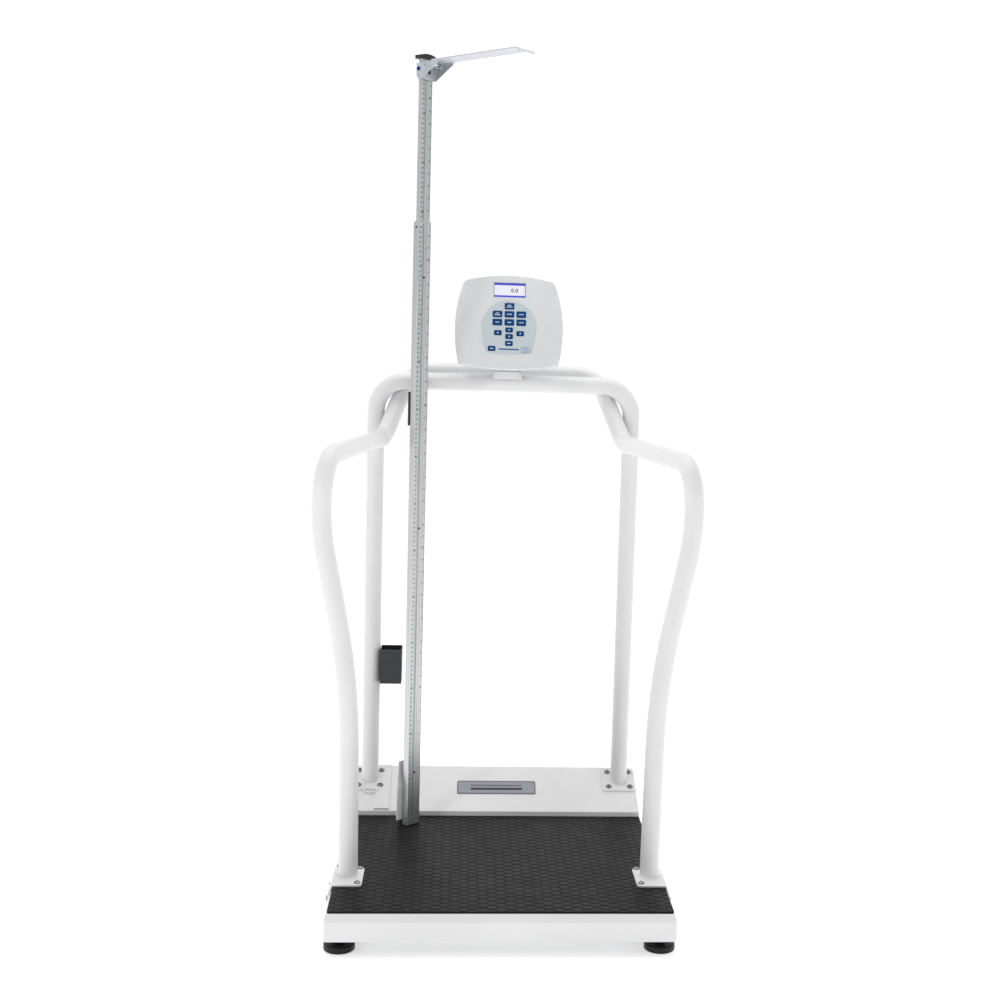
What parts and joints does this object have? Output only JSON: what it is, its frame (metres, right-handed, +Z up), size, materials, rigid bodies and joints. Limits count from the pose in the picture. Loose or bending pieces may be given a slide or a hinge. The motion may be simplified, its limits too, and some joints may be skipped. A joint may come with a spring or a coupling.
{
  "type": "platform scale with handrails and height rod",
  "caption": "Floor-standing platform scale with wrap-round handrails, a tilting keypad display and a telescoping height rod with a fold-up headpiece.",
  "frame": {"origin": "centre of the object's footprint box, on the floor under the feet", "axes": "+X to the right as the user reads the display, +Y to the rear, +Z up"},
  "size_m": [0.7512, 0.738, 1.7235],
  "materials": {
    "powder_coat": "satin powder coat",
    "frame_paint": "satin",
    "mat_rubber": "semi-gloss, moulded tread",
    "foot_rubber": "matte",
    "zinc_steel": "zinc plated",
    "screw_steel": "bright",
    "cell_alloy": "machined",
    "badge_metal": "printed border",
    "rod_alloy": "satin, printed scale",
    "black_fixings": "satin",
    "black_paint": "satin",
    "black_plastic": "fine texture",
    "head_paint": "satin",
    "blue_screws": "satin",
    "blade_plastic": "gloss",
    "housing_plastic": "fine texture",
    "window_glass": "gloss",
    "lcd": "gloss",
    "circuit_board": "satin",
    "overlay_film": "satin film",
    "key_navy": "satin"
  },
  "bodies": {
    "scale": {"platform_frame": "frame_paint", "platform_cover": "powder_coat", "rear_deck": "powder_coat", "rubber_mat": "mat_rubber", "badge_plate": "badge_metal", "load_cells": "cell_alloy", "foot_locknuts": "zinc_steel", "rear_frame_tube": "powder_coat", "rear_flange_left": "powder_coat", "rear_flange_right": "powder_coat", "handrail_tube": "powder_coat", "front_bracket_left": "powder_coat", "front_bracket_right": "powder_coat", "flange_screws": "screw_steel", "bracket_screws": "screw_steel", "rod_foot_bracket": "powder_coat", "rod_clamp": "black_paint", "rod_screws": "black_fixings", "rod_outer": "rod_alloy", "rod_foot_plug": "black_plastic", "adapter_pocket": "black_paint", "display_bracket": "powder_coat", "display_tilt_bolts": "black_plastic"},
    "measuring_rod": {"rod_inner": "rod_alloy", "rod_slide_shoe": "black_plastic", "rod_end_cap": "black_plastic", "headpiece_bracket": "head_paint", "headpiece_screws": "blue_screws", "headpiece_pin": "zinc_steel"},
    "headpiece": {"headpiece_holder": "head_paint", "headpiece_blade": "blade_plastic", "blade_rivets": "blue_screws"},
    "display_head": {"display_front_housing": "housing_plastic", "display_rear_housing": "housing_plastic", "lcd_window": "window_glass", "lcd_module": "lcd", "display_board": "circuit_board", "keypad_overlay": "overlay_film"},
    "foot_front_left": {"foot_stud_front_left": "zinc_steel", "levelling_foot_front_left": "foot_rubber"},
    "foot_front_right": {"foot_stud_front_right": "zinc_steel", "levelling_foot_front_right": "foot_rubber"},
    "foot_rear_left": {"foot_stud_rear_left": "zinc_steel", "levelling_foot_rear_left": "foot_rubber"},
    "foot_rear_right": {"foot_stud_rear_right": "zinc_steel", "levelling_foot_rear_right": "foot_rubber"},
    "key_units_cap": {"key_units": "key_navy"},
    "key_weigh_cap": {"key_weigh": "key_navy"},
    "key_hold_cap": {"key_hold": "key_navy"},
    "key_zero_cap": {"key_zero": "key_navy"},
    "key_recall_cap": {"key_recall": "key_navy"},
    "key_index_cap": {"key_index": "key_navy"},
    "key_print_cap": {"key_print": "key_navy"},
    "key_up_cap": {"key_up": "key_navy"},
    "key_left_cap": {"key_left": "key_navy"},
    "key_right_cap": {"key_right": "key_navy"},
    "key_down_cap": {"key_down": "key_navy"},
    "key_enter_cap": {"key_enter": "key_navy"},
    "key_clear_cap": {"key_clear": "key_navy"},
    "key_power_cap": {"key_power": "key_navy"}
  },
  "joints": [
    {"name": "foot_turn_front_left", "type": "hinge", "parent": "scale", "child": "foot_front_left", "pos_m": [-0.302, -0.329, 0.03], "axis": [0, 0, 1], "continuous": true},
    {"name": "foot_turn_front_right", "type": "hinge", "parent": "scale", "child": "foot_front_right", "pos_m": [0.302, -0.329, 0.03], "axis": [0, 0, 1], "continuous": true},
    {"name": "foot_turn_rear_left", "type": "hinge", "parent": "scale", "child": "foot_rear_left", "pos_m": [-0.302, 0.281, 0.03], "axis": [0, 0, 1], "continuous": true},
    {"name": "foot_turn_rear_right", "type": "hinge", "parent": "scale", "child": "foot_rear_right", "pos_m": [0.302, 0.281, 0.03], "axis": [0, 0, 1], "continuous": true},
    {"name": "rod_slide", "type": "slide", "parent": "scale", "child": "measuring_rod", "axis": [0, 0, 1], "range_m": [-0.28, 0.46]},
    {"name": "headpiece_fold", "type": "hinge", "parent": "measuring_rod", "child": "headpiece", "pos_m": [-0.17201, 0.11301, 1.698], "axis": [-0.7071, -0.7071, 0], "range_deg": [0, 88]},
    {"name": "display_tilt", "type": "hinge", "parent": "scale", "child": "display_head", "pos_m": [0.0035, 0.28528, 1.1295], "axis": [1, 0, 0], "range_deg": [-18, 2]},
    {"name": "key_units_press", "type": "slide", "parent": "display_head", "child": "key_units_cap", "axis": [0, 0.9397, -0.342], "range_m": [0, 0.0005], "stiffness_N_per_m": 1200},
    {"name": "key_weigh_press", "type": "slide", "parent": "display_head", "child": "key_weigh_cap", "axis": [0, 0.9397, -0.342], "range_m": [0, 0.0005], "stiffness_N_per_m": 1200},
    {"name": "key_hold_press", "type": "slide", "parent": "display_head", "child": "key_hold_cap", "axis": [0, 0.9397, -0.342], "range_m": [0, 0.0005], "stiffness_N_per_m": 1200},
    {"name": "key_zero_press", "type": "slide", "parent": "display_head", "child": "key_zero_cap", "axis": [0, 0.9397, -0.342], "range_m": [0, 0.0005], "stiffness_N_per_m": 1200},
    {"name": "key_recall_press", "type": "slide", "parent": "display_head", "child": "key_recall_cap", "axis": [0, 0.9397, -0.342], "range_m": [0, 0.0005], "stiffness_N_per_m": 1200},
    {"name": "key_index_press", "type": "slide", "parent": "display_head", "child": "key_index_cap", "axis": [0, 0.9397, -0.342], "range_m": [0, 0.0005], "stiffness_N_per_m": 1200},
    {"name": "key_print_press", "type": "slide", "parent": "display_head", "child": "key_print_cap", "axis": [0, 0.9397, -0.342], "range_m": [0, 0.0005], "stiffness_N_per_m": 1200},
    {"name": "key_up_press", "type": "slide", "parent": "display_head", "child": "key_up_cap", "axis": [0, 0.9397, -0.342], "range_m": [0, 0.0005], "stiffness_N_per_m": 1200},
    {"name": "key_left_press", "type": "slide", "parent": "display_head", "child": "key_left_cap", "axis": [0, 0.9397, -0.342], "range_m": [0, 0.0005], "stiffness_N_per_m": 1200},
    {"name": "key_right_press", "type": "slide", "parent": "display_head", "child": "key_right_cap", "axis": [0, 0.9397, -0.342], "range_m": [0, 0.0005], "stiffness_N_per_m": 1200},
    {"name": "key_down_press", "type": "slide", "parent": "display_head", "child": "key_down_cap", "axis": [0, 0.9397, -0.342], "range_m": [0, 0.0005], "stiffness_N_per_m": 1200},
    {"name": "key_enter_press", "type": "slide", "parent": "display_head", "child": "key_enter_cap", "axis": [0, 0.9397, -0.342], "range_m": [0, 0.0005], "stiffness_N_per_m": 1200},
    {"name": "key_clear_press", "type": "slide", "parent": "display_head", "child": "key_clear_cap", "axis": [0, 0.9397, -0.342], "range_m": [0, 0.0005], "stiffness_N_per_m": 1200},
    {"name": "key_power_press", "type": "slide", "parent": "display_head", "child": "key_power_cap", "axis": [0, 0.9397, -0.342], "range_m": [0, 0.0005], "stiffness_N_per_m": 1200}
  ]
}
